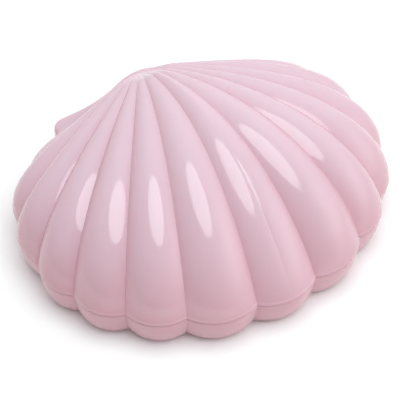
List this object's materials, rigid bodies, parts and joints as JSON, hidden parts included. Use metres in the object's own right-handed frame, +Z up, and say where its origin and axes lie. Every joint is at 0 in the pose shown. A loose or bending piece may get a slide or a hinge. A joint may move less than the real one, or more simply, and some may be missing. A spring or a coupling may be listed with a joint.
{
  "type": "shell box",
  "caption": "Lidded box in the shape of a scallop shell: a domed, ribbed lid that lifts off a shallow tray of the same scalloped outline, with small ears at the back.",
  "frame": {"origin": "on the underside, in the middle of the box's width and length", "axes": "+X to the right seen from the front, +Y towards the beak and the two ears at the back, +Z up"},
  "size_m": [0.1496, 0.1218, 0.0551],
  "materials": {
    "tray_plastic": "glossy moulded plastic, pale pink",
    "lid_plastic": "glossy moulded plastic, pale pink"
  },
  "bodies": {
    "root": {"shell_tray": "tray_plastic", "shell_lid": "lid_plastic"}
  },
  "joints": []
}
